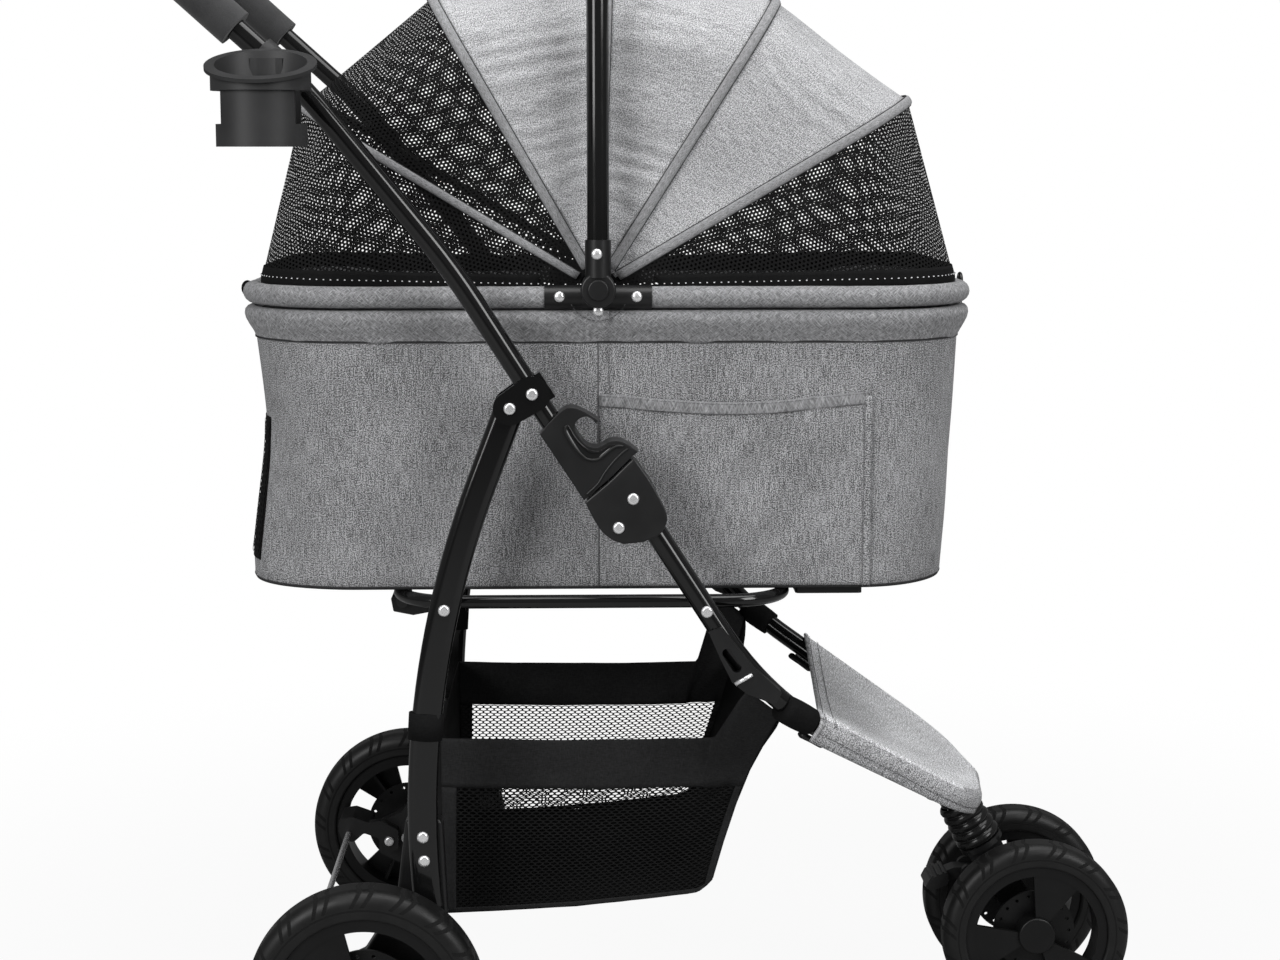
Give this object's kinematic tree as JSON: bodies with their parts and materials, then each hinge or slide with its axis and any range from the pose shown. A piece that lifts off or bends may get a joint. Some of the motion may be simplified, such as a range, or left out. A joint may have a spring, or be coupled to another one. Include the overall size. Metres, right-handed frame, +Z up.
{
  "type": "pet stroller",
  "caption": "Folding pet stroller with a lift-off soft carrier, hooded canopy with mesh ends, cup holder, storage basket and sprung front caster.",
  "frame": {"origin": "point on the floor in the middle plane of the frame, midway between the wheels", "axes": "+X towards the front caster, +Y to the left side of the stroller, +Z up"},
  "size_m": [0.7851, 0.5435, 0.92],
  "materials": {
    "tube_black": "gloss",
    "plastic_black": "satin",
    "cup_plastic": "satin",
    "foam_grey": "matte foam",
    "bright_steel": "polished",
    "wheel_plastic": "satin",
    "tyre_black": "matte",
    "rubber_black": "satin",
    "cloth_light": "woven",
    "cloth_grey": "heathered weave",
    "cloth_black": "woven",
    "mesh_black": "knitted mesh",
    "board_grey": "covered board"
  },
  "bodies": {
    "front_frame": {"front_leg_right": "tube_black", "front_leg_left": "tube_black", "leg_gussets": "plastic_black", "fold_shells": "plastic_black", "front_housing": "plastic_black", "footrest_cover": "cloth_light", "storage_basket": "cloth_black", "frame_rivets": "bright_steel"},
    "seat_frame": {"seat_loop": "tube_black", "loop_pivot_pins": "bright_steel"},
    "latch": {"carrier_latch": "plastic_black"},
    "handle": {"handle_tube": "tube_black", "handle_grip": "foam_grey", "leg_brackets": "tube_black", "handle_rivets": "bright_steel", "cup_holder": "cup_plastic"},
    "slider_right": {"fold_slider_right": "plastic_black"},
    "slider_left": {"fold_slider_left": "plastic_black"},
    "rear_frame": {"rear_leg_right": "tube_black", "rear_leg_left": "tube_black", "brake_housings": "plastic_black", "leg_rivets": "bright_steel", "rear_axles": "bright_steel"},
    "brake": {"brake_pedals": "plastic_black", "brake_rod": "bright_steel"},
    "wheel_rear_right": {"rear_wheel_tyre_right": "tyre_black", "rear_wheel_rim_right": "wheel_plastic"},
    "wheel_rear_left": {"rear_wheel_tyre_left": "tyre_black", "rear_wheel_rim_left": "wheel_plastic"},
    "caster": {"caster_stem": "plastic_black", "spring_gaiter": "rubber_black", "suspension_spring": "bright_steel"},
    "suspension": {"caster_fork": "plastic_black", "front_axle": "bright_steel"},
    "front_lever": {"front_lock_lever": "plastic_black"},
    "wheel_front_right": {"front_wheel_tyre_right": "tyre_black", "front_wheel_rim_right": "wheel_plastic"},
    "wheel_front_left": {"front_wheel_tyre_left": "tyre_black", "front_wheel_rim_left": "wheel_plastic"},
    "carrier": {"carrier_basket": "cloth_grey", "basket_rim": "cloth_grey", "canopy_ring": "tube_black", "handle_hubs": "plastic_black", "base_board": "board_grey", "base_rails": "plastic_black", "canopy_bow_rear": "plastic_black", "rear_mesh_lower": "mesh_black"},
    "carry_arch": {"carry_handle": "tube_black", "carry_sockets": "plastic_black"},
    "button_right": {"hub_button_right": "plastic_black"},
    "button_left": {"hub_button_left": "plastic_black"},
    "bow_fourth": {"canopy_bow_fourth": "plastic_black", "rear_mesh_upper": "mesh_black"},
    "bow_top": {"canopy_bow_top": "plastic_black", "canopy_cloth_rear": "cloth_light"},
    "bow_second": {"canopy_bow_second": "plastic_black", "canopy_cloth_middle": "cloth_light"},
    "bow_front": {"canopy_bow_front": "plastic_black", "canopy_cloth_front": "cloth_light", "front_mesh": "mesh_black"}
  },
  "joints": [
    {"name": "fold", "type": "hinge", "parent": "front_frame", "child": "handle", "pos_m": [-0.073, 0, 0.434], "axis": [0, -1, 0], "range_deg": [0, 85], "deforming": ["storage_basket"]},
    {"name": "seat_fold", "type": "hinge", "parent": "front_frame", "child": "seat_frame", "pos_m": [-0.00928, 0, 0.37148], "axis": [0, -1, 0], "range_deg": [0, 56]},
    {"name": "rear_leg_fold", "type": "hinge", "parent": "seat_frame", "child": "rear_frame", "pos_m": [-0.199, 0, 0.373], "axis": [0, -1, 0], "range_deg": [-19, 0]},
    {"name": "caster_swivel", "type": "hinge", "parent": "front_frame", "child": "caster", "pos_m": [0.198, 0, 0.185], "axis": [0, 0, 1], "continuous": true},
    {"name": "suspension_slide", "type": "slide", "parent": "caster", "child": "suspension", "axis": [-0.5133, 0, 0.8582], "range_m": [0, 0.01], "stiffness_N_per_m": 8000, "springref_m": -0.008, "deforming": ["spring_gaiter", "suspension_spring"]},
    {"name": "front_lever_tip", "type": "hinge", "parent": "suspension", "child": "front_lever", "pos_m": [0.219, 0, 0.112], "axis": [0, -1, 0], "range_deg": [0, 15]},
    {"name": "brake_tip", "type": "hinge", "parent": "rear_frame", "child": "brake", "pos_m": [-0.27296, 0, 0.08803], "axis": [0, -1, 0], "range_deg": [0, 18]},
    {"name": "latch_tip", "type": "hinge", "parent": "seat_frame", "child": "latch", "pos_m": [-0.236, 0, 0.362], "axis": [0, 1, 0], "range_deg": [0, 20]},
    {"name": "carrier_lift", "type": "slide", "parent": "seat_frame", "child": "carrier", "axis": [0, 0, 1], "range_m": [0, 0.06]},
    {"name": "carry_swing", "type": "hinge", "parent": "carrier", "child": "carry_arch", "pos_m": [-0.087, 0, 0.602], "axis": [0, -1, 0], "range_deg": [-65, 65]},
    {"name": "canopy_fold", "type": "hinge", "parent": "carrier", "child": "bow_fourth", "pos_m": [-0.087, 0, 0.602], "axis": [0, -1, 0], "range_deg": [0, 22], "deforming": ["rear_mesh_upper"]},
    {"name": "bow_top_fold", "type": "hinge", "parent": "bow_fourth", "child": "bow_top", "pos_m": [-0.087, 0, 0.602], "axis": [0, -1, 0], "range_deg": [0, 22], "deforming": ["canopy_cloth_rear"]},
    {"name": "bow_second_fold", "type": "hinge", "parent": "bow_top", "child": "bow_second", "pos_m": [-0.087, 0, 0.602], "axis": [0, -1, 0], "range_deg": [0, 22], "deforming": ["canopy_cloth_middle"]},
    {"name": "bow_front_fold", "type": "hinge", "parent": "bow_second", "child": "bow_front", "pos_m": [-0.087, 0, 0.602], "axis": [0, -1, 0], "range_deg": [0, 22], "deforming": ["canopy_cloth_front", "front_mesh"]},
    {"name": "slider_right_slide", "type": "slide", "parent": "handle", "child": "slider_right", "axis": [-0.5388, 0, 0.8425], "range_m": [0, 0.008], "stiffness_N_per_m": 400, "springref_m": -0.004},
    {"name": "wheel_rear_right_spin", "type": "hinge", "parent": "rear_frame", "child": "wheel_rear_right", "pos_m": [-0.258, -0.224, 0.0875], "axis": [0, 1, 0], "continuous": true},
    {"name": "wheel_front_right_spin", "type": "hinge", "parent": "suspension", "child": "wheel_front_right", "pos_m": [0.266, -0.05, 0.075], "axis": [0, 1, 0], "continuous": true},
    {"name": "button_right_press", "type": "slide", "parent": "carry_arch", "child": "button_right", "axis": [0, 1, 0], "range_m": [0, 0.003], "stiffness_N_per_m": 300, "springref_m": -0.002},
    {"name": "slider_left_slide", "type": "slide", "parent": "handle", "child": "slider_left", "axis": [-0.5388, 0, 0.8425], "range_m": [0, 0.008], "stiffness_N_per_m": 400, "springref_m": -0.004},
    {"name": "wheel_rear_left_spin", "type": "hinge", "parent": "rear_frame", "child": "wheel_rear_left", "pos_m": [-0.258, 0.224, 0.0875], "axis": [0, 1, 0], "continuous": true},
    {"name": "wheel_front_left_spin", "type": "hinge", "parent": "suspension", "child": "wheel_front_left", "pos_m": [0.266, 0.05, 0.075], "axis": [0, 1, 0], "continuous": true},
    {"name": "button_left_press", "type": "slide", "parent": "carry_arch", "child": "button_left", "axis": [0, -1, 0], "range_m": [0, 0.003], "stiffness_N_per_m": 300, "springref_m": -0.002}
  ],
  "couplings": [
    {"joint": "seat_fold", "follows": "fold", "ratio": 0.65},
    {"joint": "rear_leg_fold", "follows": "fold", "ratio": -0.22},
    {"joint": "bow_top_fold", "follows": "canopy_fold", "ratio": 1},
    {"joint": "bow_second_fold", "follows": "canopy_fold", "ratio": 1},
    {"joint": "bow_front_fold", "follows": "canopy_fold", "ratio": 1}
  ]
}
